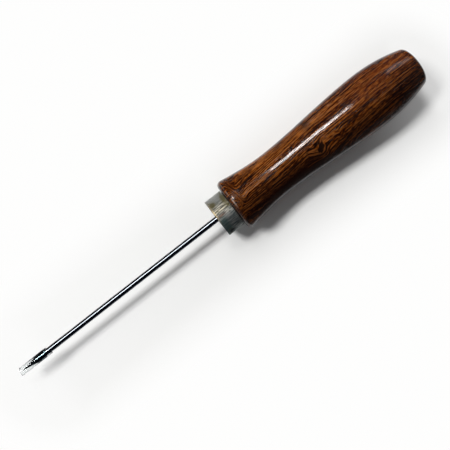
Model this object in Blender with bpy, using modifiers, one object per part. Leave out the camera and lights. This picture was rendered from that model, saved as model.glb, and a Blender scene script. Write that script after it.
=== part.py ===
"""Carbide pick: a ground carbide rod bonded into a turned hardwood handle.

A steel ferrule sits on the handle's tenon, and a clear tip guard is pushed over the point.
Metres, +Z up. The tool lies along X on the belly of its handle, point towards -X, butt towards +X.
Every piece is turned about the tool's own axis: stations run along it from the handle's shoulder,
positive towards the butt.
"""

import math

import bmesh
import bpy

MM = 0.001

# Handle, from its front shoulder to its butt
SHOULDER_DIAMETER = 32.4 * MM
SHOULDER_ROUND = 3.0 * MM
FLARE_ANGLE = math.radians(8.5)
WAIST_DIAMETER = 26.6 * MM
SHOULDER_TO_WAIST = 31.0 * MM
BELLY_DIAMETER = 34.0 * MM
WAIST_TO_BELLY = 69.0 * MM
BUTT_FACE_DIAMETER = 18.4 * MM
BUTT_ROUND = 3.3 * MM
BUTT_TAPER_ANGLE = math.radians(17.0)
BELLY_TO_BUTT = 33.0 * MM

# Ferrule, a slice of steel tube
FERRULE_DIAMETER = 23.8 * MM
FERRULE_WALL = 1.3 * MM
FERRULE_LENGTH = 11.0 * MM
FERRULE_CHAMFER = 0.3 * MM

# Carbide rod
ROD_DIAMETER = 3.57 * MM
ROD_REACH = 142.5 * MM
TANG_DEPTH = 60.0 * MM
TANG_CHAMFER = 0.4 * MM
POINT_LENGTH = 10.0 * MM

# Adhesive sleeve round the tang
BOND_THICKNESS = 0.6 * MM

# Tip guard, a hand-cut length of clear tube
GUARD_WALL = 0.65 * MM
GUARD_LENGTH = 20.0 * MM
GUARD_OVERHANG = 0.8 * MM
GUARD_FRONT_SLANT = math.radians(14.0)
GUARD_REAR_SLANT = math.radians(22.0)

# Clearances
FERRULE_SEAT_GAP = 0.3 * MM
TENON_CLEARANCE = 0.15 * MM
TENON_RECESS = 0.4 * MM
BOND_CLEARANCE = 0.1 * MM
BORE_END_GAP = 0.3 * MM
GUARD_CLEARANCE = 0.08 * MM

# Fineness of the turned surfaces
HANDLE_SEGMENTS = 64
ROD_SEGMENTS = 32
ROUND_STEPS = 5
SWEEP_STEPS = 12
MERGE_DISTANCE = 0.001 * MM
SHARP_ANGLE = math.radians(35.0)

# Stations along the tool's axis and radii that follow from the sizes above
HANDLE_LENGTH = SHOULDER_TO_WAIST + WAIST_TO_BELLY + BELLY_TO_BUTT
FERRULE_REAR = -FERRULE_SEAT_GAP
FERRULE_FRONT = FERRULE_REAR - FERRULE_LENGTH
TENON_END = FERRULE_FRONT + TENON_RECESS
TANG_END = FERRULE_FRONT + TANG_DEPTH
POINT = FERRULE_FRONT - ROD_REACH
ROD_RADIUS = ROD_DIAMETER / 2
BOND_INNER_RADIUS = ROD_RADIUS + BOND_CLEARANCE
BOND_OUTER_RADIUS = BOND_INNER_RADIUS + BOND_THICKNESS
BORE_RADIUS = BOND_OUTER_RADIUS + BOND_CLEARANCE
BORE_END = TANG_END + BORE_END_GAP
FERRULE_BORE_RADIUS = FERRULE_DIAMETER / 2 - FERRULE_WALL
TENON_RADIUS = FERRULE_BORE_RADIUS - TENON_CLEARANCE
GUARD_BORE_RADIUS = ROD_RADIUS + GUARD_CLEARANCE
GUARD_RADIUS = GUARD_BORE_RADIUS + GUARD_WALL
GUARD_FRONT = POINT - GUARD_OVERHANG
GUARD_REAR = GUARD_FRONT + GUARD_LENGTH
GUARD_FRONT_LEAN = GUARD_RADIUS * math.tan(GUARD_FRONT_SLANT)
GUARD_REAR_LEAN = GUARD_RADIUS * math.tan(GUARD_REAR_SLANT)

# Colour, roughness and metallic value of each material
WOOD = ("varnished_hardwood", (0.11, 0.036, 0.008), 0.12, 0.0)
STEEL = ("zinc_plated_steel", (0.34, 0.34, 0.31), 0.34, 1.0)
CARBIDE = ("polished_carbide", (0.26, 0.28, 0.30), 0.06, 1.0)
EPOXY = ("cured_epoxy", (0.62, 0.52, 0.30), 0.30, 0.0)
VINYL = ("clear_vinyl", (0.90, 0.93, 0.92), 0.12, 0.0)


def clear_scene():
    """Remove every object that the file opens with."""
    for item in list(bpy.data.objects):
        bpy.data.objects.remove(item, do_unlink=True)


def new_collection(name):
    """Add an empty collection to the scene."""
    collection = bpy.data.collections.new(name)
    bpy.context.scene.collection.children.link(collection)
    return collection


def new_material(name, colour, roughness, metallic):
    """Make a Principled material of one colour."""
    material = bpy.data.materials.new(name)
    material.use_nodes = True
    shader = material.node_tree.nodes["Principled BSDF"]
    shader.inputs["Base Color"].default_value = (*colour, 1.0)
    shader.inputs["Roughness"].default_value = roughness
    shader.inputs["Metallic"].default_value = metallic
    return material


def lay_tool_axis(collection):
    """Add the empty that carries the tool: its local Z lies along X, one handle facet down.

    The scene's origin ends up on the floor, under the middle of the tool's length.
    """
    axis = bpy.data.objects.new("tool_axis", None)
    collection.objects.link(axis)
    foremost = GUARD_FRONT - GUARD_FRONT_LEAN
    height = BELLY_DIAMETER / 2 * math.cos(math.pi / HANDLE_SEGMENTS)
    axis.location = (-(HANDLE_LENGTH + foremost) / 2, 0.0, height)
    axis.rotation_euler = (0.0, math.pi / 2, 0.0)
    return axis


def arc(radius, station, size, start_angle, end_angle):
    """Points of a rounded corner: angles are the outward normal's, from straight out to along the axis."""
    points = []
    for step in range(ROUND_STEPS + 1):
        angle = start_angle + (end_angle - start_angle) * step / ROUND_STEPS
        points.append((radius + size * math.cos(angle), station + size * math.sin(angle)))
    return points


def sweep(start, start_slope, end, end_slope):
    """Points of a smooth turned curve between two (radius, station) points, both ends left out."""
    span = end[1] - start[1]
    points = []
    for step in range(1, SWEEP_STEPS):
        u = step / SWEEP_STEPS
        keep = 2 * u**3 - 3 * u**2 + 1
        lean_in = (u**3 - 2 * u**2 + u) * span
        lean_out = (u**3 - u**2) * span
        radius = keep * start[0] + (1 - keep) * end[0] + lean_in * start_slope + lean_out * end_slope
        points.append((radius, start[1] + u * span))
    return points


def turn(name, profile, closed, segments, axis, collection):
    """Turn a profile of (radius, station) points about the tool's axis.

    A profile runs down its outer side, from the butt end to the point end. An open one starts and
    ends on the axis.
    """
    mesh = bpy.data.meshes.new(name)
    shape = bmesh.new()
    corners = [shape.verts.new((radius, 0.0, station)) for radius, station in profile]
    for first, second in zip(corners, corners[1:]):
        shape.edges.new((first, second))
    if closed:
        shape.edges.new((corners[-1], corners[0]))
    shape.to_mesh(mesh)
    shape.free()
    piece = bpy.data.objects.new(name, mesh)
    collection.objects.link(piece)
    piece.parent = axis
    piece.rotation_euler = (0.0, 0.0, math.pi / segments)
    screw = piece.modifiers.new("turn", "SCREW")
    screw.axis = "Z"
    screw.angle = 2 * math.pi
    screw.steps = segments
    screw.render_steps = segments
    screw.use_merge_vertices = True
    screw.merge_threshold = MERGE_DISTANCE
    return piece


def finish(piece, material_values):
    """Apply a piece's modifiers, shade it smooth between its sharp edges and give it its material."""
    evaluated = piece.evaluated_get(bpy.context.evaluated_depsgraph_get())
    turned = bpy.data.meshes.new_from_object(evaluated)
    piece.modifiers.clear()
    piece.data = turned
    turned.shade_smooth()
    turned.set_sharp_from_angle(angle=SHARP_ANGLE)
    turned.materials.clear()
    turned.materials.append(new_material(*material_values))


def slanted_cut(name, station, slant, towards_butt, axis, collection):
    """Add a cutter that takes away all of a tube beyond a slanted plane through the axis."""
    size = 2 * GUARD_LENGTH
    mesh = bpy.data.meshes.new(name)
    shape = bmesh.new()
    bmesh.ops.create_cube(shape, size=size)
    bmesh.ops.translate(shape, verts=shape.verts, vec=(0.0, 0.0, size / 2 if towards_butt else -size / 2))
    shape.to_mesh(mesh)
    shape.free()
    cutter = bpy.data.objects.new(name, mesh)
    collection.objects.link(cutter)
    cutter.parent = axis
    cutter.location = (0.0, 0.0, station)
    cutter.rotation_euler = (slant, 0.0, 0.0)
    cutter.hide_render = True
    cutter.display_type = "WIRE"
    return cutter


def cut(piece, cutter):
    """Take a cutter away from a piece."""
    boolean = piece.modifiers.new(cutter.name, "BOOLEAN")
    boolean.operation = "DIFFERENCE"
    boolean.solver = "EXACT"
    boolean.object = cutter


def handle_outside():
    """Profile of the handle's outside, from its butt face to its shoulder face."""
    butt_flat = BUTT_FACE_DIAMETER / 2
    shoulder_flat = SHOULDER_DIAMETER / 2 - SHOULDER_ROUND
    belly = (BELLY_DIAMETER / 2, SHOULDER_TO_WAIST + WAIST_TO_BELLY)
    waist = (WAIST_DIAMETER / 2, SHOULDER_TO_WAIST)
    butt_edge = arc(butt_flat, HANDLE_LENGTH - BUTT_ROUND, BUTT_ROUND, math.pi / 2, BUTT_TAPER_ANGLE)
    shoulder_edge = arc(shoulder_flat, SHOULDER_ROUND, SHOULDER_ROUND, FLARE_ANGLE, -math.pi / 2)
    tail = sweep(butt_edge[-1], -math.tan(BUTT_TAPER_ANGLE), belly, 0.0)
    swell = sweep(belly, 0.0, waist, 0.0)
    flare = sweep(waist, 0.0, shoulder_edge[0], -math.tan(FLARE_ANGLE))
    return [*butt_edge, *tail, belly, *swell, waist, *flare, *shoulder_edge]


def make_handle(axis, collection):
    """Turned handle with a tenon for the ferrule and a blind bore for the bonded tang."""
    tenon = [(TENON_RADIUS, 0.0), (TENON_RADIUS, TENON_END)]
    bore = [(BORE_RADIUS, TENON_END), (BORE_RADIUS, BORE_END), (0.0, BORE_END)]
    profile = [(0.0, HANDLE_LENGTH), *handle_outside(), *tenon, *bore]
    handle = turn("handle", profile, False, HANDLE_SEGMENTS, axis, collection)
    finish(handle, WOOD)


def make_ferrule(axis, collection):
    """Plain tube ring on the tenon, its outer edges broken by a small chamfer."""
    outside = FERRULE_DIAMETER / 2
    profile = [
        (FERRULE_BORE_RADIUS, FERRULE_REAR),
        (outside - FERRULE_CHAMFER, FERRULE_REAR),
        (outside, FERRULE_REAR - FERRULE_CHAMFER),
        (outside, FERRULE_FRONT + FERRULE_CHAMFER),
        (outside - FERRULE_CHAMFER, FERRULE_FRONT),
        (FERRULE_BORE_RADIUS, FERRULE_FRONT),
    ]
    ferrule = turn("ferrule", profile, True, HANDLE_SEGMENTS, axis, collection)
    finish(ferrule, STEEL)


def make_carbide_rod(axis, collection):
    """One ground rod: chamfered tang end inside the handle, needle point at the front."""
    profile = [
        (0.0, TANG_END),
        (ROD_RADIUS - TANG_CHAMFER, TANG_END),
        (ROD_RADIUS, TANG_END - TANG_CHAMFER),
        (ROD_RADIUS, POINT + POINT_LENGTH),
        (0.0, POINT),
    ]
    rod = turn("carbide_rod", profile, False, ROD_SEGMENTS, axis, collection)
    finish(rod, CARBIDE)


def make_epoxy_bond(axis, collection):
    """Cured adhesive between the tang and the bore, level with the tenon's end."""
    profile = [
        (BOND_OUTER_RADIUS, TANG_END),
        (BOND_OUTER_RADIUS, TENON_END),
        (BOND_INNER_RADIUS, TENON_END),
        (BOND_INNER_RADIUS, TANG_END),
    ]
    bond = turn("epoxy_bond", profile, True, ROD_SEGMENTS, axis, collection)
    finish(bond, EPOXY)


def make_tip_guard(axis, collection, cutters):
    """Clear tube over the point, both ends snipped at a slant so that it is longest on its -Y side."""
    profile = [
        (GUARD_RADIUS, GUARD_REAR + 2 * GUARD_REAR_LEAN),
        (GUARD_RADIUS, GUARD_FRONT - 2 * GUARD_FRONT_LEAN),
        (GUARD_BORE_RADIUS, GUARD_FRONT - 2 * GUARD_FRONT_LEAN),
        (GUARD_BORE_RADIUS, GUARD_REAR + 2 * GUARD_REAR_LEAN),
    ]
    guard = turn("tip_guard", profile, True, ROD_SEGMENTS, axis, collection)
    front = slanted_cut("guard_front_cut", GUARD_FRONT, GUARD_FRONT_SLANT, False, axis, cutters)
    rear = slanted_cut("guard_rear_cut", GUARD_REAR, -GUARD_REAR_SLANT, True, axis, cutters)
    cut(guard, front)
    cut(guard, rear)
    finish(guard, VINYL)


def main():
    """Build the pick, piece by piece, from the handle forwards."""
    clear_scene()
    parts = new_collection("carbide_pick")
    cutters = new_collection("carbide_pick_cutters")
    axis = lay_tool_axis(parts)
    make_handle(axis, parts)
    make_ferrule(axis, parts)
    make_carbide_rod(axis, parts)
    make_epoxy_bond(axis, parts)
    make_tip_guard(axis, parts, cutters)


main()
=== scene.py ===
"""Finished look of the carbide pick: turned wooden handle, filed ferrule, polished rod and clear tip guard.

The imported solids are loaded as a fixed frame. Each one is replaced by a finer model in the same place
with a procedural finish, and the tool lies on a pale floor under a row of soft lamps.
"""

import logging
import math
from dataclasses import dataclass
from enum import Enum
from typing import Any, Callable, Sequence

import bmesh
import bpy
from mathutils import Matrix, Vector


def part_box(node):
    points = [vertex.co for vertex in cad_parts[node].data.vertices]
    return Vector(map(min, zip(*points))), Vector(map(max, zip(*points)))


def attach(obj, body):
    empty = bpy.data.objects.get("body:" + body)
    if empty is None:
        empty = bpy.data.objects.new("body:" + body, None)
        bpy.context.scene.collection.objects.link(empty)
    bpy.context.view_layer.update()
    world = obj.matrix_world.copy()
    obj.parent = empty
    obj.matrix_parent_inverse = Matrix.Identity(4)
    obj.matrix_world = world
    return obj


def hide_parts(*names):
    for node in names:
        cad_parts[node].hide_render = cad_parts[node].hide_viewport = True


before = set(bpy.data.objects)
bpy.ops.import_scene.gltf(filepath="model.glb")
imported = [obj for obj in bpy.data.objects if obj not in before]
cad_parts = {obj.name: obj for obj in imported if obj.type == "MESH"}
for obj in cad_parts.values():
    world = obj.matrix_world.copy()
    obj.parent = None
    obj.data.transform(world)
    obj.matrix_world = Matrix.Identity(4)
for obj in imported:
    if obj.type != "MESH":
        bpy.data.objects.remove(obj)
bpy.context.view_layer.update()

LOG = logging.getLogger("carbide_pick")
MM = 0.001
FULL_TURN = 2 * math.pi
MERGE_DISTANCE = 1e-7

Point = tuple[float, float]
Span = tuple[float, float]
Colour = tuple[float, float, float]
Stops = tuple[tuple[float, Colour], ...]


class Body(Enum):
    """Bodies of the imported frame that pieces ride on."""

    TOOL = "tool"
    GUARD = "tip_guard"


class Slot(Enum):
    """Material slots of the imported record."""

    WOOD = "hardwood"
    STEEL = "ferrule_steel"
    CARBIDE = "carbide"
    EPOXY = "epoxy"
    VINYL = "clear_vinyl"


class Signal:
    """One socket of a shader graph, with arithmetic that adds Math nodes."""

    def __init__(self, graph: "Graph", socket: bpy.types.NodeSocket) -> None:
        """Keep an output socket and the graph that its node belongs to."""
        self.graph = graph
        self.socket = socket

    def math(self, operation: str, *values: "Signal | float") -> "Signal":
        """Result of a new Math node, given Blender's name of the operation and the operands in order."""
        return self.graph.add("ShaderNodeMath", {"operation": operation}, dict(enumerate(values)))

    def __add__(self, other: "Signal | float") -> "Signal":
        """Sum."""
        return self.math("ADD", self, other)

    __radd__ = __add__

    def __sub__(self, other: "Signal | float") -> "Signal":
        """Difference."""
        return self.math("SUBTRACT", self, other)

    def __rsub__(self, other: float) -> "Signal":
        """Difference from a number."""
        return self.math("SUBTRACT", other, self)

    def __mul__(self, other: "Signal | float") -> "Signal":
        """Product."""
        return self.math("MULTIPLY", self, other)

    __rmul__ = __mul__

    def __truediv__(self, other: "Signal | float") -> "Signal":
        """Quotient."""
        return self.math("DIVIDE", self, other)

    def __rtruediv__(self, other: float) -> "Signal":
        """Quotient of a number."""
        return self.math("DIVIDE", other, self)

    def size(self) -> "Signal":
        """Value without its sign."""
        return self.math("ABSOLUTE", self)

    def root(self) -> "Signal":
        """Square root."""
        return self.math("SQRT", self)

    def most(self, other: "Signal | float") -> "Signal":
        """Larger of two values."""
        return self.math("MAXIMUM", self, other)

    def least(self, other: "Signal | float") -> "Signal":
        """Smaller of two values."""
        return self.math("MINIMUM", self, other)

    def rise(self, low: float, high: float, bottom: float = 0.0, top: float = 1.0) -> "Signal":
        """Smooth step between two values.

        Args:
            low: Value at which the step starts.
            high: Value at which the step ends.
            bottom: Result at and before the start.
            top: Result at and after the end.

        Returns:
            The step.
        """
        settings = {"interpolation_type": "SMOOTHSTEP"}
        inputs = dict(enumerate((self, low, high, bottom, top)))
        return self.graph.add("ShaderNodeMapRange", settings, inputs)

    def bell(self, centre: float, width: float) -> "Signal":
        """Bell curve of height 1 at its centre, fallen to 1/e at its width from there."""
        offset = (self - centre) / width
        return self.math("EXPONENT", offset * offset * -1.0)


Place = tuple[Signal, Signal, Signal]


@dataclass(frozen=True)
class Waves:
    """Smooth noise: waves per unit of each coordinate, number of finer layers and their share."""

    first: float
    second: float
    third: float
    detail: float = 1.0
    rough: float = 0.5


@dataclass(frozen=True)
class Mark:
    """Soft-edged mark: its middle along and across the tool, and how far it reaches, in millimetres."""

    along: float
    across: float
    length: float
    width: float

    def mask(self, x: Signal, y: Signal) -> Signal:
        """Strength of the mark, 1 in its middle."""
        return x.bell(self.along, self.length) * y.bell(self.across, self.width)


class Graph:
    """Shader node tree of one material or of the world."""

    def __init__(self, owner: bpy.types.Material | bpy.types.World) -> None:
        """Start an empty tree.

        Args:
            owner: Material or world that the tree belongs to.
        """
        owner.use_nodes = True
        self.tree = owner.node_tree
        self.tree.nodes.clear()

    def add(
        self,
        kind: str,
        settings: dict[str, Any],
        inputs: dict[str | int, Any],
        output: str | int = 0,
    ) -> Signal | None:
        """Add a node, set it up and feed its sockets.

        Args:
            kind: Blender's type name of the node.
            settings: Properties of the node, or stops for a colour ramp.
            inputs: Value or link of each socket, by name or number.
            output: Name or number of the output that is wanted.

        Returns:
            The output socket, or nothing for a node that ends the tree.
        """
        node = self.tree.nodes.new(kind)
        for name, setting in settings.items():
            if name == "stops":
                self._set_stops(node.color_ramp.elements, setting)
            else:
                setattr(node, name, setting)
        for key, value in inputs.items():
            self._feed(node.inputs[key], value)
        return Signal(self, node.outputs[output]) if node.outputs else None

    def _set_stops(self, elements: bpy.types.ColorRampElements, stops: Stops) -> None:
        """Give a colour ramp its stops.

        Args:
            elements: Elements of the ramp.
            stops: Place and colour of each stop, in rising order.
        """
        while len(elements) < len(stops):
            elements.new(1.0)
        for element, (place, colour) in zip(elements, stops):
            element.position = place
            element.color = (*colour, 1.0)

    def _feed(self, socket: bpy.types.NodeSocket, value: Any) -> None:
        """Link a signal to a socket, or set the socket's own value.

        Args:
            socket: Input socket.
            value: Signal, number, vector or colour.
        """
        if isinstance(value, Signal):
            self.tree.links.new(value.socket, socket)
        elif socket.type == "RGBA":
            socket.default_value = (*value, 1.0)
        else:
            socket.default_value = value

    def coordinates(self, kind: str) -> Signal:
        """Texture coordinates of a kind that Blender names."""
        return self.add("ShaderNodeTexCoord", {}, {}, kind)

    def split(self, vector: Signal) -> Place:
        """Take a vector apart into its three coordinates."""
        parts = self.add("ShaderNodeSeparateXYZ", {}, {0: vector}).socket.node
        return tuple(Signal(self, socket) for socket in parts.outputs)

    def millimetres(self, height: float) -> Place:
        """Object coordinates in millimetres, measured from the tool's axis.

        Args:
            height: Height of the axis in metres.

        Returns:
            The distances along X, Y and Z.
        """
        inputs = {
            "Vector": self.coordinates("Object"),
            "Location": (0.0, 0.0, -height / MM),
            "Scale": (1 / MM,) * 3,
        }
        return self.split(self.add("ShaderNodeMapping", {}, inputs))

    def rays(self) -> tuple[Signal, Signal, Signal]:
        """Tell rays that show a surface from rays that gather its light.

        Returns:
            1 for rays from the camera, for rays off gloss and for rays through clear pieces.
        """
        path = self.add("ShaderNodeLightPath", {}, {}).socket.node
        names = ("Is Camera Ray", "Glossy Depth", "Is Transmission Ray")
        return tuple(Signal(self, path.outputs[name]).least(1.0) for name in names)

    def noise(self, place: Place, waves: Waves) -> Signal:
        """Smooth noise from 0 to 1.

        Args:
            place: The three coordinates.
            waves: Scale of the noise along each of them, and its detail.

        Returns:
            The noise.
        """
        scales = (waves.first, waves.second, waves.third)
        scaled = [part * scale for part, scale in zip(place, scales)]
        vector = self.add("ShaderNodeCombineXYZ", {}, dict(enumerate(scaled)))
        inputs = {"Vector": vector, "Scale": 1.0, "Detail": waves.detail, "Roughness": waves.rough}
        return self.add("ShaderNodeTexNoise", {}, inputs)

    def blend(self, share: Signal | float, first: Signal | Colour, second: Signal | Colour) -> Signal:
        """Mix two colours, by the share of the second."""
        return self.add("ShaderNodeMix", {"data_type": "RGBA"}, {0: share, 6: first, 7: second}, 2)

    def ramp(self, value: Signal, stops: Stops) -> Signal:
        """Colour that a value has on a ramp of stops."""
        return self.add("ShaderNodeValToRGB", {"stops": stops}, {0: value})

    def bump(self, height: Signal, distance: float) -> Signal:
        """Normal that shows a relief from 0 to 1, given the height of a full step in metres."""
        return self.add("ShaderNodeBump", {}, {"Height": height, "Distance": distance})

    def glow(self, colour: Colour) -> Signal:
        """Shader that shows one colour in any light."""
        return self.add("ShaderNodeEmission", {}, {"Color": colour, "Strength": 1.0})

    def mix(self, share: Signal, first: Signal, second: Signal) -> Signal:
        """Mix two shaders, by the share of the second."""
        return self.add("ShaderNodeMixShader", {}, {0: share, 1: first, 2: second})

    def end(self, surface: Signal) -> None:
        """End a material's tree in a shader."""
        self.add("ShaderNodeOutputMaterial", {}, {"Surface": surface})

    def principled(self, inputs: dict[str | int, Any]) -> None:
        """End a material's tree in a Principled shader, given the inputs of its sockets."""
        self.end(self.add("ShaderNodeBsdfPrincipled", {}, inputs))


@dataclass(frozen=True)
class VarnishedHardwood:
    """Dark striped hardwood under glossy varnish, with one knot and a hooked figure behind the shoulder.

    Lengths are in millimetres from the tool's axis, as the pattern's coordinates are. The layers of the
    grain run along the tool, across the rings and upwards, and the rest along X, Y and Z.
    """

    axis_height: float
    shoulder: float
    pith: Point = (80.0, -6.0)
    run_out: float = 0.05
    knot: Point = (70.2, -4.6)
    knot_reach: float = 2.4
    knot_stain: Mark = Mark(1.0, 16.0, 2.6, 4.5)
    dimple: Mark = Mark(83.5, -5.0, 1.8, 4.0)
    dimple_depth: float = 0.8
    upper_half: Span = (-2.0, 5.0)
    bands: Waves = Waves(0.012, 0.35, 0.03, 2.0)
    lines: Waves = Waves(0.018, 1.80, 0.05)
    fine: Waves = Waves(0.060, 2.50, 0.10)
    flecks: Waves = Waves(0.40, 2.30, 0.50)
    grooves: Waves = Waves(0.05, 2.10, 0.15)
    specks: Waves = Waves(0.30, 1.60, 0.60)
    wander: Waves = Waves(0.018, 0.06, 0.06, 2.0)
    waver: Waves = Waves(0.09, 0.22, 0.22, 2.0)
    ragged: Waves = Waves(0.7, 0.7, 0.0, 3.0, 0.6)
    wear: Waves = Waves(0.09, 0.16, 0.16, 3.0, 0.55)
    layer_weights: tuple[float, ...] = (0.9, 2.8, 2.8, 2.6)
    groove_edge: Span = (0.56, 0.60)
    speck_edge: Span = (0.61, 0.65)
    stripe_colours: Stops = (
        (0.08, (0.010, 0.002, 0.001)),
        (0.28, (0.048, 0.009, 0.0005)),
        (0.46, (0.106, 0.023, 0.001)),
        (0.72, (0.185, 0.047, 0.003)),
        (0.98, (0.280, 0.090, 0.019)),
    )
    butt_tint: Colour = (0.16, 0.036, 0.013)
    painted_flank_shading_colour: Colour = (0.009, 0.0025, 0.0015)
    pore_and_gap_shading_colour: Colour = (0.008, 0.003, 0.002)
    highlit_wear_colour: Colour = (0.50, 0.42, 0.36)
    bare_colour: Colour = (0.20, 0.12, 0.06)
    relief: float = 0.025 * MM
    roughness: float = 0.07
    refraction: float = 1.5
    shine: float = 0.3

    def material(self) -> bpy.types.Material:
        """Make the finish.

        Returns:
            The material.
        """
        material = bpy.data.materials.new("varnished_hardwood")
        graph = Graph(material)
        place = graph.millimetres(self.axis_height)
        x, y, z = place
        behind = x - self.shoulder
        upper = z.rise(*self.upper_half)
        grain = (x, self._ring(graph, place, upper), z)
        bands = graph.noise(grain, self.bands)
        lines = graph.noise(grain, self.lines)
        wear = graph.noise(place, self.wear)
        grooves = graph.noise(grain, self.grooves).rise(*self.groove_edge)
        specks = graph.noise(grain, self.specks).rise(*self.speck_edge)
        pores = grooves.most(specks * 0.8)
        # Painted shade: the rounding just behind the shoulder, by the gap to the ferrule, is darkened like
        # the pores and knot marks.
        shoulder_edge = behind.rise(0.1, 0.9, 0.9, 0.0)
        dark = (pores * 0.92).most(self._knot_marks(graph, place, upper)).most(shoulder_edge)
        # Wear and painted highlight: a pale line on the shoulder's rounding, on the +Y half only, broken up
        # by the wear noise.
        highlit_wear = behind.bell(1.9, 0.35) * wear.rise(0.35, 0.6) * y.rise(-4.0, 3.0)
        bare = behind.rise(-0.2, 0.0, 1.0, 0.0)
        dull = behind.rise(1.0, 2.8, 0.4, 0.0) * y.rise(-12.0, -4.0, 1.0, 0.0)
        colour = self._stripes(graph, place, grain, bands, lines)
        for share, coat in (
            # Painted shade on the near (-Y) flank, away from the lamps, strongest high on that flank.
            (self._painted_flank_shading(place, bands), self.painted_flank_shading_colour),
            # Pores and knot marks, and the painted shade by the shoulder.
            (dark, self.pore_and_gap_shading_colour),
            (highlit_wear * 0.6, self.highlit_wear_colour),
            (bare * 0.8, self.bare_colour),
        ):
            colour = graph.blend(share, colour, coat)
        unevenness = (wear + lines * 0.5 - pores * 0.9) * x.rise(62.0, 76.0, 0.8, 2.0)
        graph.principled(
            {
                "Base Color": colour,
                "Roughness": wear * 0.06 + pores * 0.04 + bare.most(dull) * 0.5 + self.roughness,
                "IOR": self.refraction,
                "Specular IOR Level": self.shine,
                "Normal": graph.bump(unevenness, self.relief),
            }
        )
        return material

    def _ring(self, graph: Graph, place: Place, upper: Signal) -> Signal:
        """Lay the grain's course round the knot and the hook behind the shoulder.

        Args:
            graph: Tree to add to.
            place: Distances along X, Y and Z.
            upper: 1 on the upper half, 0 on the lower.

        Returns:
            The distance from the pith, which stays the same along a line of grain.
        """
        x, y, z = place
        behind = x - self.shoulder
        knot_x, knot_y = self.knot
        along = x - knot_x
        aside = y - knot_y
        hook = behind.rise(3.0, 7.5, 15.0, 0.0) - behind.bell(8.8, 2.0) * 0.8
        sag = along.rise(-10.0, -0.5) * along.rise(0.5, 3.5, 2.8, 0.0) * aside.bell(0.0, 4.5)
        dimple = self.dimple.mask(x, y) * self.dimple_depth
        lift = hook * y.rise(-4.0, 0.5) - sag - dimple
        stretched = along * 0.8
        reach = self.knot_reach**2
        push = upper * reach / (stretched * stretched + aside * aside + reach)
        across = aside * (1.0 - push) + knot_y - lift * upper - x * self.run_out
        wander = graph.noise(place, self.wander) - 0.5
        waver = graph.noise(place, self.waver) - 0.5
        drift = (wander * 5.0 + waver * 0.5) * x.rise(70.0, 95.0, 1.0, 0.3)
        pith_y, pith_z = self.pith
        beside = across + drift - pith_y
        over = z - pith_z
        return (over * over + beside * beside).root()

    def _stripes(self, graph: Graph, place: Place, grain: Place, bands: Signal, lines: Signal) -> Signal:
        """Colour the grain's stripes, lighter on the +Y side towards the lamps as painted light, and redder
        towards the butt.

        Args:
            graph: Tree to add to.
            place: Distances along X, Y and Z.
            grain: Coordinates of the grain.
            bands: Broad layer of the grain.
            lines: Long thin layer of the grain.

        Returns:
            The colour.
        """
        x, y, _ = place
        fine = graph.noise(grain, self.fine)
        flecks = graph.noise(grain, self.flecks)
        # Painted light: the +Y side, towards the lamps, is lighter from about 30 to 70 mm along, and darker
        # nearer the shoulder.
        painted_lamp_side_tone = y.rise(2.0, 12.0) * x.rise(17.0, 30.0, -0.22, 0.26) * x.rise(68.0, 84.0, 1.0, 0.0)
        tone = painted_lamp_side_tone + x.rise(17.0, 34.0, 0.44, 0.52) - x.rise(110.0, 130.0, 0.0, 0.20)
        for layer, weight in zip((bands, lines, fine, flecks), self.layer_weights):
            tone = tone + (layer - 0.5) * weight
        redder = x.rise(60.0, 130.0) * y.rise(-8.0, 10.0) * 0.3
        return graph.blend(redder, graph.ramp(tone, self.stripe_colours), self.butt_tint)

    def _painted_flank_shading(self, place: Place, bands: Signal) -> Signal:
        """Find the painted shade on the near (-Y) flank, away from the lamps.

        Args:
            place: Distances along X, Y and Z.
            bands: Broad layer of the grain, which the painted shade's edge follows.

        Returns:
            The painted shade's mask.
        """
        x, y, z = place
        dent = x.bell(75.0, 9.0) * 4.5
        step = x.rise(66.0, 92.0, 1.0, 0.0)
        tail = x.rise(116.0, 134.0, 0.0, 3.5)
        edge = y + bands * 8.0 + dent - step - tail
        behind_shoulder = x.rise(14.0, 36.0, 0.76, 0.97)
        past_knot = x.rise(66.0, 92.0, 1.0, 0.76)
        below = z.rise(-9.0, 1.0, 0.3, 1.0)
        return edge.rise(-6.0, 6.5, 1.0, 0.0) * behind_shoulder * past_knot * below

    def _knot_marks(self, graph: Graph, place: Place, upper: Signal) -> Signal:
        """Find the knot's dark core and the dark stain that crosses the grain beside it.

        Args:
            graph: Tree to add to.
            place: Distances along X, Y and Z.
            upper: 1 on the upper half, 0 on the lower.

        Returns:
            The mask of both.
        """
        along = place[0] - self.knot[0]
        aside = place[1] - self.knot[1]
        ragged = graph.noise(place, self.ragged) - 0.5
        leaning = along - aside * 0.6
        away = (leaning * leaning + aside * aside * 0.8).root() + ragged * 3.0
        core = away.rise(1.7, 2.8, 0.97, 0.0)
        stain = self.knot_stain.mask(along, aside) * (ragged + 0.75)
        return core.most(stain) * upper


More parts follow.
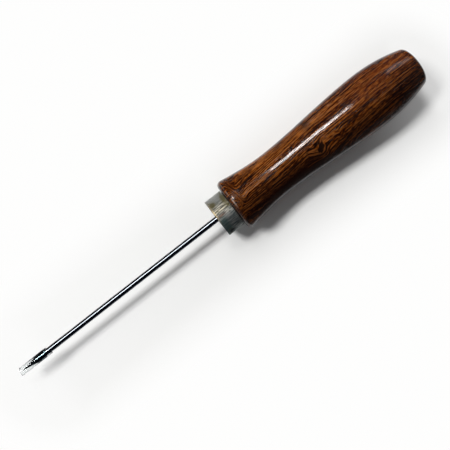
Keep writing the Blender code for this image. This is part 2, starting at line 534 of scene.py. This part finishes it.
@dataclass(frozen=True)
class FiledSteel:
    """Plated steel tube, filed round and along, with yellowish stains thinned by wear and a dark nick near
    its front. Its -Y side has painted shade, its +Y side painted sheen, and a warm tint is painted along
    the band where the highlight falls.

    Lengths are in millimetres. Marks are placed from the tube's front, or from its rear if named so.
    """

    axis_height: float
    front: float
    rear: float
    upper_half: Span = (-1.0, 2.0)
    streaks: Waves = Waves(0.22, 2.0, 2.0, 3.0, 0.6)
    rings: Waves = Waves(5.0, 0.12, 0.12, 4.0, 0.65)
    cloud: Waves = Waves(0.35, 0.25, 0.25, 4.0, 0.6)
    front_stain: Mark = Mark(2.4, 7.6, 2.6, 2.0)
    rear_stain: Mark = Mark(-1.4, 7.2, 1.8, 3.8)
    rust: Mark = Mark(3.2, -0.2, 2.6, 0.8)
    lip: Mark = Mark(0.5, 3.0, 0.5, 5.5)
    nick: Mark = Mark(3.0, -10.6, 1.9, 0.8)
    streak_edge: Span = (0.42, 0.60)
    highlight_tint_edge: Span = (0.44, 0.58)
    dark_steel: Colour = (0.21, 0.23, 0.225)
    bright_steel: Colour = (0.60, 0.60, 0.57)
    painted_shading_colour: Colour = (0.135, 0.220, 0.210)
    painted_sheen_colour: Colour = (0.86, 0.87, 0.83)
    highlight_tint_dark: Colour = (0.050, 0.042, 0.027)
    highlight_tint_bright: Colour = (0.34, 0.30, 0.215)
    stain_colour: Colour = (0.105, 0.085, 0.022)
    rust_colour: Colour = (0.15, 0.06, 0.025)
    lip_colour: Colour = (0.60, 0.47, 0.27)
    nick_colour: Colour = (0.015, 0.016, 0.018)
    relief: float = 0.012 * MM
    roughness: float = 0.46

    def material(self) -> bpy.types.Material:
        """Make the finish.

        Returns:
            The material.
        """
        material = bpy.data.materials.new("filed_steel")
        graph = Graph(material)
        place = graph.millimetres(self.axis_height)
        x, y, z = place
        from_front = x - self.front
        upper = z.rise(*self.upper_half)
        streaks = graph.noise(place, self.streaks)
        rings = graph.noise(place, self.rings)
        cloud = graph.noise(place, self.cloud)
        # Painted shade: darker teal on the -Y side, strongest over the front few millimetres.
        shade = (y + cloud * 4.0).rise(-2.0, 3.0, 1.0, 0.0) * from_front.rise(3.0, 6.0, 1.0, 0.15)
        # Warm tint painted, in streaks, along the upper band where the highlight falls.
        highlight_tint = graph.blend(streaks.rise(*self.highlight_tint_edge), self.highlight_tint_dark, self.highlight_tint_bright)
        stain = self._stain(x, y, upper, cloud)
        rust, lip, nick = (mark.mask(from_front, y) * upper for mark in (self.rust, self.lip, self.nick))
        colour = graph.blend(streaks.rise(*self.streak_edge), self.dark_steel, self.bright_steel)
        for share, coat in (
            # Painted shade on the -Y side.
            (shade * 0.8, self.painted_shading_colour),
            # Painted sheen: paler on the +Y side, towards the lamps.
            (y.rise(5.5, 10.0) * 0.85, self.painted_sheen_colour),
            # Warm tint painted along the band where the highlight falls.
            (y.bell(3.0, 3.6) * upper * 0.85, highlight_tint),
            (stain * 0.9, self.stain_colour),
            (rust * 0.7, self.rust_colour),
            (lip * 0.7, self.lip_colour),
            ((nick * 1.3).least(0.9), self.nick_colour),
        ):
            colour = graph.blend(share, colour, coat)
        graph.principled(
            {
                "Base Color": colour,
                "Metallic": 1.0 - stain * 0.3,
                "Roughness": cloud * 0.16 + stain * 0.15 + rings * 0.06 + self.roughness,
                "Normal": graph.bump(rings * 0.4 + streaks * 0.5, self.relief),
            }
        )
        return material

    def _stain(self, x: Signal, y: Signal, upper: Signal, cloud: Signal) -> Signal:
        """Find the yellowish stains near both ends.

        Args:
            x: Distance along the tool.
            y: Distance across the tool.
            upper: 1 on the upper half, 0 on the lower.
            cloud: Noise that breaks the stains up.

        Returns:
            The stains' mask.
        """
        from_front = x - self.front
        from_rear = x - self.rear
        placed = self.front_stain.mask(from_front, y) + self.rear_stain.mask(from_rear, y)
        ends = from_front.bell(2.0, 2.0) + from_rear.bell(-1.6, 1.4)
        loose = ends * cloud.rise(0.54, 0.66) * 0.7
        return (placed * upper * (cloud * 1.6 + 0.5) + loose).least(1.0)


@dataclass(frozen=True)
class PolishedCarbide:
    """Mirror-ground cemented carbide, lapped lengthwise, with a ringed point and painted shade on the run
    inside the guard.

    Lengths are in millimetres.
    """

    axis_height: float
    point_rear: float
    painted_guard_shading_rear: float
    lapping: Waves = Waves(0.06, 7.0, 7.0, 3.0, 0.6)
    rings: Waves = Waves(9.0, 0.4, 0.4, 3.0, 0.6)
    cloud: Waves = Waves(0.05, 0.5, 0.5, 3.0)
    dark_carbide: Colour = (0.20, 0.22, 0.24)
    bright_carbide: Colour = (0.27, 0.29, 0.31)
    painted_guard_shading_colour: Colour = (0.025, 0.052, 0.056)
    relief: float = 0.001 * MM
    roughness: float = 0.02

    def material(self) -> bpy.types.Material:
        """Make the finish.

        Returns:
            The material.
        """
        material = bpy.data.materials.new("polished_carbide")
        graph = Graph(material)
        place = graph.millimetres(self.axis_height)
        cloud = graph.noise(place, self.cloud)
        ground = (place[0] - self.point_rear).rise(-0.3, 0.0, 1.0, 0.0)
        # Painted shade: the run of the rod inside the guard is darkened.
        painted_guard_shading = (place[0] - self.painted_guard_shading_rear).rise(-1.0, 0.0, 0.8, 0.0)
        colour = graph.blend(cloud, self.dark_carbide, self.bright_carbide)
        lapping = graph.noise(place, self.lapping) * (1.0 - ground) * 0.3
        rings = graph.noise(place, self.rings) * ground * 0.2
        graph.principled(
            {
                "Base Color": graph.blend(painted_guard_shading, colour, self.painted_guard_shading_colour),
                "Metallic": 1.0,
                "Roughness": cloud * 0.03 + ground * 0.05 + self.roughness,
                "Normal": graph.bump(lapping + rings, self.relief),
            }
        )
        return material


@dataclass(frozen=True)
class CuredEpoxy:
    """Amber adhesive with trapped bubbles."""

    axis_height: float
    cloud: Waves = Waves(1.2, 1.2, 1.2, 3.0, 0.6)
    bubbles: Waves = Waves(6.0, 6.0, 6.0)
    bubble_edge: Span = (0.66, 0.72)
    dark_amber: Colour = (0.34, 0.20, 0.05)
    pale_amber: Colour = (0.58, 0.42, 0.16)
    bubble_colour: Colour = (0.75, 0.66, 0.46)
    relief: float = 0.05 * MM
    roughness: float = 0.10
    refraction: float = 1.55

    def material(self) -> bpy.types.Material:
        """Make the finish.

        Returns:
            The material.
        """
        material = bpy.data.materials.new("cured_epoxy")
        graph = Graph(material)
        place = graph.millimetres(self.axis_height)
        cloud = graph.noise(place, self.cloud)
        bubbles = graph.noise(place, self.bubbles).rise(*self.bubble_edge)
        amber = graph.blend(cloud, self.dark_amber, self.pale_amber)
        graph.principled(
            {
                "Base Color": graph.blend(bubbles * 0.6, amber, self.bubble_colour),
                "Roughness": cloud * 0.12 + self.roughness,
                "IOR": self.refraction,
                "Normal": graph.bump(cloud - bubbles * 0.5, self.relief),
            }
        )
        return material


@dataclass(frozen=True)
class ClearVinyl:
    """Clear flexible tubing with faint drawing lines along it and a little haze."""

    axis_height: float
    drawn: Waves = Waves(0.04, 1.6, 1.6, 2.0)
    haze: Waves = Waves(0.25, 0.5, 0.5, 3.0)
    tinted: Colour = (0.94, 0.97, 0.97)
    clear: Colour = (0.99, 1.0, 1.0)
    relief: float = 0.002 * MM
    roughness: float = 0.03
    refraction: float = 1.48

    def material(self) -> bpy.types.Material:
        """Make the finish.

        Returns:
            The material.
        """
        material = bpy.data.materials.new("clear_vinyl")
        graph = Graph(material)
        place = graph.millimetres(self.axis_height)
        haze = graph.noise(place, self.haze)
        graph.principled(
            {
                "Base Color": graph.blend(haze, self.tinted, self.clear),
                "Roughness": haze * self.roughness,
                "IOR": self.refraction,
                "Transmission Weight": 1.0,
                "Normal": graph.bump(graph.noise(place, self.drawn), self.relief),
            }
        )
        return material


@dataclass(frozen=True)
class Lathe:
    """Models a turned piece with edit-mode operators: a drawn profile, spun about the tool's axis."""

    axis_height: float

    def turn(self, name: str, profile: Sequence[Point], closed: bool, steps: int) -> bpy.types.Object:
        """Draw a profile of (station, radius) points from a single vertex, and spin it.

        Args:
            name: Name of the piece.
            profile: Points from one end of the outline to the other.
            closed: Whether the last point joins the first.
            steps: Number of steps round the axis.

        Returns:
            The piece, still open for editing.
        """
        bpy.ops.object.select_all(action="DESELECT")
        bpy.ops.mesh.primitive_plane_add(size=MM)
        piece = bpy.context.active_object
        piece.name = name
        piece.data.name = name
        bpy.ops.object.mode_set(mode="EDIT")
        bpy.ops.mesh.select_all(action="SELECT")
        bpy.ops.mesh.merge(type="CENTER")
        corners = [Vector((x, 0.0, self.axis_height + radius)) for x, radius in profile]
        bpy.ops.transform.translate(value=corners[0])
        legs = list(zip(corners, corners[1:]))
        if closed:
            legs.append((corners[-1], corners[0]))
        for first, second in legs:
            bpy.ops.mesh.extrude_region_move(TRANSFORM_OT_translate={"value": second - first})
        bpy.ops.mesh.select_all(action="SELECT")
        bpy.ops.mesh.remove_doubles(threshold=MERGE_DISTANCE)
        centre = (0.0, 0.0, self.axis_height)
        bpy.ops.mesh.spin(steps=steps, angle=FULL_TURN, center=centre, axis=(1.0, 0.0, 0.0))
        bpy.ops.mesh.select_all(action="SELECT")
        bpy.ops.mesh.remove_doubles(threshold=MERGE_DISTANCE)
        bpy.ops.mesh.normals_make_consistent(inside=False)
        return piece

    def round_edge(self, piece: bpy.types.Object, size: float, test: Callable[[Vector], bool]) -> None:
        """Round the edges between the vertices that pass a test.

        Args:
            piece: Piece that is open for editing.
            size: Width of the rounding in metres.
            test: Whether a vertex at this place is wanted.
        """
        bpy.ops.mesh.select_all(action="DESELECT")
        shape = bmesh.from_edit_mesh(piece.data)
        for vertex in shape.verts:
            vertex.select = test(vertex.co)
        shape.select_flush(True)
        bmesh.update_edit_mesh(piece.data)
        bpy.ops.mesh.bevel(offset=size, segments=3, profile=0.5, affect="EDGES")

    def ripple(self, piece: bpy.types.Object, wave: float, depth: float) -> None:
        """Give a closed piece the slight unevenness of handwork.

        Args:
            piece: Piece to change, in object mode.
            wave: Length of the waves in metres.
            depth: Height from lowest to highest place in metres.
        """
        cloud = bpy.data.textures.new(piece.name, "CLOUDS")
        cloud.noise_scale = wave
        modifier = piece.modifiers.new("handwork", "DISPLACE")
        modifier.texture = cloud
        modifier.texture_coords = "LOCAL"
        modifier.strength = depth
        bpy.ops.object.modifier_apply(modifier=modifier.name)

    def close(self, piece: bpy.types.Object, material: bpy.types.Material, sharp: float = 40.0) -> None:
        """Leave edit mode, shade a piece and give it its finish.

        Args:
            piece: Piece that is open for editing.
            material: Finish of the piece.
            sharp: Angle in degrees past which an edge stays sharp.
        """
        bpy.ops.object.mode_set(mode="OBJECT")
        bpy.ops.object.shade_smooth_by_angle(angle=math.radians(sharp))
        piece.data.materials.clear()
        piece.data.materials.append(material)


def settle(piece: bpy.types.Object, node: str, body: Body) -> None:
    """Put a finished piece in the frame, in place of its plain solid.

    Args:
        piece: Finished piece.
        node: Solid that it stands for.
        body: Body that it rides on.
    """
    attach(piece, body.value)
    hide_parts(node)
    LOG.info("%s: %d faces, rides on %s", piece.name, len(piece.data.polygons), body.value)


def arc(centre: Point, size: float, start: float, end: float, steps: int) -> list[Point]:
    """Points of a rounded corner.

    Args:
        centre: Station and radius of the corner's centre.
        size: Corner radius.
        start: Angle of the first point's normal, from straight out towards the butt, in degrees.
        end: Angle of the last point's normal.
        steps: Number of steps.

    Returns:
        The points, both ends included.
    """
    angles = [math.radians(start + (end - start) * step / steps) for step in range(steps + 1)]
    return [(centre[0] + size * math.sin(angle), centre[1] + size * math.cos(angle)) for angle in angles]


def sweep(start: Point, start_slope: float, end: Point, end_slope: float, steps: int) -> list[Point]:
    """Points of a smooth turned curve.

    Args:
        start: First station and radius.
        start_slope: Change of radius per station at the start.
        end: Last station and radius.
        end_slope: Change of radius per station at the end.
        steps: Number of steps.

    Returns:
        The points between the ends, both ends left out.
    """
    span = end[0] - start[0]
    points = []
    for step in range(1, steps):
        u = step / steps
        keep = 2 * u**3 - 3 * u**2 + 1
        lean_in = (u**3 - 2 * u**2 + u) * span * start_slope
        lean_out = (u**3 - u**2) * span * end_slope
        points.append((start[0] + u * span, keep * start[1] + (1 - keep) * end[1] + lean_in + lean_out))
    return points


def line(start: Point, end: Point, steps: int) -> list[Point]:
    """Points of a straight run, the last one left out.

    Args:
        start: First station and radius.
        end: Last station and radius.
        steps: Number of steps.

    Returns:
        The points.
    """
    shares = [step / steps for step in range(steps)]
    return [(start[0] + (end[0] - start[0]) * u, start[1] + (end[1] - start[1]) * u) for u in shares]


@dataclass
class Handle:
    """Turned handle: flared shoulder, waist, belly and butt outside, tenon and blind bore inside."""

    lathe: Lathe
    shoulder: float
    butt: float
    tenon_end: float
    belly_radius: float
    shoulder_radius: float = 16.2 * MM
    shoulder_round: float = 3.0 * MM
    flare_angle: float = 8.5
    waist_radius: float = 13.3 * MM
    shoulder_to_waist: float = 31.0 * MM
    waist_to_belly: float = 69.0 * MM
    butt_face_radius: float = 9.2 * MM
    butt_round: float = 3.3 * MM
    butt_taper: float = 17.0
    tenon_radius: float = 10.45 * MM
    tenon_chamfer: float = 0.2 * MM
    tenon_rim: float = 1.0 * MM
    bore_radius: float = 2.585 * MM
    bore_end: float = 60.1 * MM
    ripple_wave: float = 7.0 * MM
    ripple_depth: float = 0.05 * MM
    steps: int = 160

    def outline(self) -> list[Point]:
        """Draw half of the handle's section.

        Returns:
            Points from the middle of the butt face, over the outside, to the end of the bore.
        """
        butt_centre = (self.butt - self.butt_round, self.butt_face_radius)
        butt_edge = arc(butt_centre, self.butt_round, 90.0, self.butt_taper, steps=9)
        edge_centre = (self.shoulder + self.shoulder_round, self.shoulder_radius - self.shoulder_round)
        shoulder_edge = arc(edge_centre, self.shoulder_round, self.flare_angle, -90.0, steps=12)
        waist = (self.shoulder + self.shoulder_to_waist, self.waist_radius)
        belly = (waist[0] + self.waist_to_belly, self.belly_radius)
        tail_slope = -math.tan(math.radians(self.butt_taper))
        flare_slope = -math.tan(math.radians(self.flare_angle))
        tenon_end = self.tenon_end
        bore_edge = (tenon_end, self.bore_radius)
        return [
            *line((self.butt, 0.0), butt_edge[0], steps=8),
            *butt_edge,
            *sweep(butt_edge[-1], tail_slope, belly, 0.0, steps=26),
            belly,
            *sweep(belly, 0.0, waist, 0.0, steps=56),
            waist,
            *sweep(waist, 0.0, shoulder_edge[0], flare_slope, steps=24),
            *shoulder_edge,
            (self.shoulder, self.tenon_radius),
            (tenon_end + self.tenon_chamfer, self.tenon_radius),
            (tenon_end, self.tenon_radius - self.tenon_chamfer),
            *line((tenon_end, self.tenon_radius - self.tenon_rim), bore_edge, steps=6),
            bore_edge,
            (self.bore_end, self.bore_radius),
            (self.bore_end, 0.0),
        ]

    def build(self, finish: VarnishedHardwood) -> None:
        """Turn the handle and dress it.

        Args:
            finish: Finish of the wood.
        """
        piece = self.lathe.turn("turned_handle", self.outline(), False, self.steps)
        self.lathe.close(piece, finish.material())
        self.lathe.ripple(piece, self.ripple_wave, self.ripple_depth)
        settle(piece, "handle", Body.TOOL)


@dataclass
class Ferrule:
    """Tube ring on the tenon, its edges rolled over a little by filing."""

    lathe: Lathe
    front: float
    rear: float
    radius: float = 11.9 * MM
    bore_radius: float = 10.6 * MM
    edge: float = 0.3 * MM
    shoulder_gap: float = 0.3 * MM
    ripple_wave: float = 3.0 * MM
    ripple_depth: float = 0.04 * MM
    steps: int = 128

    def build(self, finish: FiledSteel) -> None:
        """Turn the ring, roll its edges and dress it.

        Args:
            finish: Finish of the steel.
        """
        outer = line((self.rear, self.radius), (self.front, self.radius), steps=12)
        inner = line((self.front, self.bore_radius), (self.rear, self.bore_radius), steps=4)
        rims = [(self.front, self.radius), *inner, (self.rear, self.bore_radius)]
        piece = self.lathe.turn("ferrule_ring", [*outer, *rims], True, self.steps)
        for station in (self.front, self.rear):
            self.lathe.round_edge(
                piece,
                self.edge,
                lambda place: abs(place.x - station) < MERGE_DISTANCE
                and math.hypot(place.y, place.z - self.lathe.axis_height) > self.radius - self.edge,
            )
        self.lathe.close(piece, finish.material())
        self.lathe.ripple(piece, self.ripple_wave, self.ripple_depth)
        settle(piece, "ferrule", Body.TOOL)


@dataclass
class CarbideRod:
    """Ground rod with a needle point in front and a chamfered tang inside the handle."""

    lathe: Lathe
    point: float
    tang_end: float
    radius: float = 1.785 * MM
    point_length: float = 10.0 * MM
    point_flat: float = 0.04 * MM
    point_tip: float = 0.1 * MM
    neck_round: float = 0.3 * MM
    tang_chamfer: float = 0.4 * MM
    sharp_angle: float = 35.0
    steps: int = 64

    @property
    def neck(self) -> float:
        """Station behind the needle point, where the full rod starts."""
        return self.point + self.point_length

    def build(self, finish: PolishedCarbide) -> None:
        """Turn the rod, ease the edge behind its point and dress it.

        Args:
            finish: Finish of the carbide.
        """
        neck = (self.neck, self.radius)
        tip = (self.point + self.point_tip, self.point_flat)
        profile = [
            (self.tang_end, 0.0),
            (self.tang_end, self.radius - self.tang_chamfer),
            *line((self.tang_end - self.tang_chamfer, self.radius), neck, steps=40),
            *line(neck, tip, steps=16),
            tip,
            (self.point, 0.0),
        ]
        piece = self.lathe.turn("needle_rod", profile, False, self.steps)
        self.lathe.round_edge(
            piece, self.neck_round, lambda place: abs(place.x - self.neck) < MERGE_DISTANCE
        )
        self.lathe.close(piece, finish.material(), self.sharp_angle)
        settle(piece, "carbide_rod", Body.TOOL)


@dataclass
class EpoxyBond:
    """Adhesive sleeve round the tang, with a hollow fillet where it wells up round the rod."""

    lathe: Lathe
    front: float
    rear: float
    rod_radius: float
    thickness: float = 0.7 * MM
    clearance: float = 0.01 * MM
    fillet: float = 0.35 * MM
    steps: int = 64

    def build(self, finish: CuredEpoxy) -> None:
        """Turn the sleeve and dress it.

        Args:
            finish: Finish of the adhesive.
        """
        inner = self.rod_radius + self.clearance
        outer = self.rod_radius + self.thickness
        skirt = inner + self.fillet
        profile = [
            (self.rear, outer),
            *line((self.front, outer), (self.front, skirt), steps=2),
            *arc((self.front - self.fillet, skirt), self.fillet, 90.0, 180.0, steps=10),
            (self.rear, inner),
        ]
        piece = self.lathe.turn("epoxy_fillet", profile, True, self.steps)
        self.lathe.close(piece, finish.material())
        settle(piece, "epoxy_bond", Body.TOOL)


@dataclass
class TipGuard:
    """Snipped length of clear tube over the point, slanted at both ends and longest on its -Y side."""

    lathe: Lathe
    low: float
    high: float
    rod_radius: float
    radius: float = 2.515 * MM
    squeeze: float = 0.005 * MM
    mouth_flare: float = 0.14 * MM
    mouth_length: float = 2.6 * MM
    bright_mouth: float = 1.5 * MM
    front_slant: float = 14.0
    rear_slant: float = 22.0
    spare: float = 3.0 * MM
    rings: int = 24
    steps: int = 64

    @property
    def front(self) -> float:
        """Station where the front cut meets the axis."""
        return self.low + self.radius * math.tan(math.radians(self.front_slant))

    @property
    def rear(self) -> float:
        """Station where the rear cut meets the axis."""
        return self.high - self.radius * math.tan(math.radians(self.rear_slant))

    def build(self, finish: ClearVinyl) -> None:
        """Spin a tube, snip both ends, close the cut walls and dress it.

        Args:
            finish: Finish of the tube.
        """
        grip = self.rod_radius - self.squeeze
        start = (self.front - self.spare, grip)
        grip_end = (self.rear - self.mouth_length, grip)
        mouth = (self.rear + self.spare, grip + self.mouth_flare)
        profile = [
            *line((mouth[0], self.radius), (start[0], self.radius), self.rings),
            (start[0], self.radius),
            *line(start, grip_end, self.rings),
            *line(grip_end, mouth, steps=6),
            mouth,
        ]
        piece = self.lathe.turn("guard_tube", profile, True, self.steps)
        self._snip(piece, self.front, math.radians(self.front_slant), keeps=1.0)
        self._snip(piece, self.rear, math.radians(-self.rear_slant), keeps=-1.0)
        self.lathe.close(piece, finish.material())
        settle(piece, "tip_guard", Body.GUARD)

    def _snip(self, piece: bpy.types.Object, station: float, slant: float, keeps: float) -> None:
        """Cut the tube at a slant, then join the inner and outer edges of the cut.

        Args:
            piece: Tube that is open for editing.
            station: Where the cut meets the axis.
            slant: Lean of the cut from square, in radians.
            keeps: 1 to keep the side towards the butt, -1 to keep the side towards the point.
        """
        bpy.ops.mesh.select_all(action="SELECT")
        centre = (station, 0.0, self.lathe.axis_height)
        normal = Vector((math.cos(slant), -math.sin(slant), 0.0)) * keeps
        bpy.ops.mesh.bisect(plane_co=centre, plane_no=normal, clear_inner=True)
        bpy.ops.mesh.bridge_edge_loops()
        bpy.ops.mesh.select_all(action="SELECT")
        bpy.ops.mesh.normals_make_consistent(inside=False)


class LampUse(Enum):
    """What a lamp is for: light on the surfaces, or the shapes that gloss mirrors."""

    SURFACES = "surfaces"
    GLOSS = "gloss"


@dataclass(frozen=True)
class Lamp:
    """One rectangular lamp on the far side of the tool, facing it squarely across.

    Lengths are in metres, the lean from upright in degrees and the power in watts. The reach is measured
    from the line on the floor under the tool.
    """

    name: str
    station: float
    lean: float
    reach: float
    length: float
    width: float
    power: float
    use: LampUse

    def hang(self) -> None:
        """Add the lamp to the scene."""
        lean = math.radians(self.lean)
        away = Vector((0.0, math.sin(lean), math.cos(lean)))
        data = bpy.data.lights.new(self.name, "AREA")
        data.shape = "RECTANGLE"
        data.size = self.length
        data.size_y = self.width
        data.energy = self.power
        hung = bpy.data.objects.new(self.name, data)
        hung.location = away * self.reach + Vector((self.station, 0.0, 0.0))
        hung.rotation_euler = away.to_track_quat("Z", "Y").to_euler()
        hung.visible_glossy = self.use is LampUse.GLOSS
        hung.visible_diffuse = self.use is LampUse.SURFACES
        bpy.context.scene.collection.objects.link(hung)


@dataclass
class Studio:
    """Pale floor, a row of soft lamps on the far side, dim surroundings and the camera above.

    Lengths are in metres. The floor is painted near the tool, where the shadows fall, and glows beyond.
    """

    floor_size: float = 60.0
    painted_half_length: float = 0.13
    painted_middle: float = -0.006
    painted_edge: Span = (0.015, 0.055)
    dusk_edge: Span = (0.026, 0.048)
    butt_end: Span = (0.40, 0.90)
    point_end: Span = (-0.90, -0.40)
    floor_colour: Colour = (0.92, 0.92, 0.905)
    glow_colour: Colour = (0.99, 0.99, 0.985)
    dusk_colour: Colour = (0.06, 0.06, 0.065)
    overhead_colour: Colour = (0.045, 0.045, 0.048)
    mirrored_overhead: Colour = (0.006, 0.008, 0.014)
    butt_end_colour: Colour = (0.60, 0.60, 0.60)
    point_end_colour: Colour = (0.22, 0.22, 0.23)
    backdrop_colour: Colour = (0.97, 0.97, 0.965)
    camera_place: tuple[float, float, float] = (0.00125, -0.00562, 0.467)
    camera_turn: float = -38.0
    camera_lens: float = 62.39
    camera_sensor: float = 36.0
    camera_clip: float = 0.01
    lamps: tuple[Lamp, ...] = (
        Lamp("window", -0.540, 26.2, 1.60, 0.50, 0.30, 20.5, LampUse.SURFACES),
        Lamp("fill", 0.15, 26.2, 1.60, 0.30, 0.30, 3.2, LampUse.SURFACES),
        Lamp("wall", 0.10, 48.0, 1.80, 1.40, 1.20, 7.5, LampUse.SURFACES),
        Lamp("rod_strip", -0.325, 27.5, 1.55, 0.65, 0.36, 7.8, LampUse.GLOSS),
        Lamp("handle_spot", 0.12, 27.0, 1.55, 0.24, 0.30, 9.4, LampUse.GLOSS),
        Lamp("butt_spot", 1.05, 48.7, 1.13, 0.60, 0.45, 2.4, LampUse.GLOSS),
    )

    def lay_floor(self) -> None:
        """Add the floor that the tool lies on."""
        bpy.ops.object.select_all(action="DESELECT")
        bpy.ops.mesh.primitive_plane_add(size=self.floor_size)
        floor = bpy.context.active_object
        floor.name = "floor"
        floor.data.materials.append(self._floor_material())

    def _floor_material(self) -> bpy.types.Material:
        """Make the floor's finish: shadows near the tool, lightened by painted glow near the point and the
        butt, even paleness beyond, and dusk in mirrors.

        Returns:
            The material.
        """
        material = bpy.data.materials.new("pale_floor")
        graph = Graph(material)
        x, y, _ = graph.split(graph.coordinates("Object"))
        camera, glossy, through = graph.rays()
        past_end = (x.size() - self.painted_half_length).most(0.0)
        beside = y - self.painted_middle
        away = (past_end * past_end + beside * beside).root()
        # Painted light: the floor's glow reaches in near the point and the butt, which lightens the tool's
        # shadow there.
        shadow_lift_near_point = x.rise(-0.15, 0.035, 0.30, 0.0) + x.rise(-0.142, -0.120, 0.3, 0.0)
        shadow_lift_near_butt = x.rise(0.09, 0.15, 0.0, 0.15) + x.rise(0.138, 0.148, 0.0, 0.32)
        seen = camera.most(through - glossy)
        glowing = away.rise(*self.painted_edge).most(shadow_lift_near_point + shadow_lift_near_butt) * seen
        under_guard = x.rise(-0.148, -0.138) * x.rise(-0.130, -0.114, 1.0, 0.0) * y.rise(-0.004, 0.001)
        mirrored = glossy * y.size().rise(*self.dusk_edge).most(under_guard)
        paint = graph.add("ShaderNodeBsdfDiffuse", {}, {"Color": self.floor_colour})
        surface = graph.mix(glowing, paint, graph.glow(self.glow_colour))
        graph.end(graph.mix(mirrored, surface, graph.glow(self.dusk_colour)))
        return material

    def dim_room(self) -> None:
        """Make the room dark overhead, lighter past both ends of the tool and pale to the camera."""
        world = bpy.data.worlds.new("dim_room")
        bpy.context.scene.world = world
        graph = Graph(world)
        x, _, _ = graph.split(graph.coordinates("Generated"))
        camera, glossy, _ = graph.rays()
        room = graph.blend(glossy, self.overhead_colour, self.mirrored_overhead)
        for share, colour in (
            (x.rise(*self.butt_end) * (1.0 - glossy * 0.7), self.butt_end_colour),
            (x.rise(*self.point_end, 1.0, 0.0), self.point_end_colour),
            (camera, self.backdrop_colour),
        ):
            room = graph.blend(share, room, colour)
        sky = graph.add("ShaderNodeBackground", {}, {"Color": room, "Strength": 1.0})
        graph.add("ShaderNodeOutputWorld", {}, {"Surface": sky})

    def set_camera(self) -> None:
        """Hang the camera over the tool, turned so that the tool runs from lower left to upper right."""
        data = bpy.data.cameras.new("camera")
        data.sensor_width = self.camera_sensor
        data.lens = self.camera_lens
        data.clip_start = self.camera_clip
        camera = bpy.data.objects.new("camera", data)
        camera.location = self.camera_place
        camera.rotation_euler = (0.0, 0.0, math.radians(self.camera_turn))
        bpy.context.scene.collection.objects.link(camera)
        bpy.context.scene.camera = camera

    def build(self) -> None:
        """Set up everything that isn't part of the tool."""
        self.lay_floor()
        for lamp in self.lamps:
            lamp.hang()
        self.dim_room()
        self.set_camera()
        bpy.context.scene.view_settings.view_transform = "Standard"
        LOG.info("studio: floor, %d lamps, room and camera", len(self.lamps))


def main() -> None:
    """Build the studio and the tool, piece by piece from the butt forwards."""
    logging.basicConfig(level=logging.INFO, format="%(name)s: %(message)s")
    handle_low, handle_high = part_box("handle")
    ferrule_low, ferrule_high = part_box("ferrule")
    rod_low, rod_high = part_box("carbide_rod")
    bond_low, bond_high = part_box("epoxy_bond")
    guard_low, guard_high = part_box("tip_guard")
    axis = (handle_low.z + handle_high.z) / 2
    lathe = Lathe(axis)
    Studio().build()
    shoulder = ferrule_high.x + Ferrule.shoulder_gap
    handle = Handle(lathe, shoulder, handle_high.x, handle_low.x, belly_radius=axis)
    handle.build(VarnishedHardwood(axis, shoulder / MM))
    ferrule = Ferrule(lathe, ferrule_low.x, ferrule_high.x)
    ferrule.build(FiledSteel(axis, ferrule.front / MM, ferrule.rear / MM))
    rod = CarbideRod(lathe, rod_low.x, rod_high.x)
    rod.build(PolishedCarbide(axis, rod.neck / MM, (guard_high.x - TipGuard.bright_mouth) / MM))
    bond = EpoxyBond(lathe, bond_low.x, bond_high.x, rod.radius)
    bond.build(CuredEpoxy(axis))
    guard = TipGuard(lathe, guard_low.x, guard_high.x, rod.radius)
    guard.build(ClearVinyl(axis))


if __name__ == "__main__":
    main()
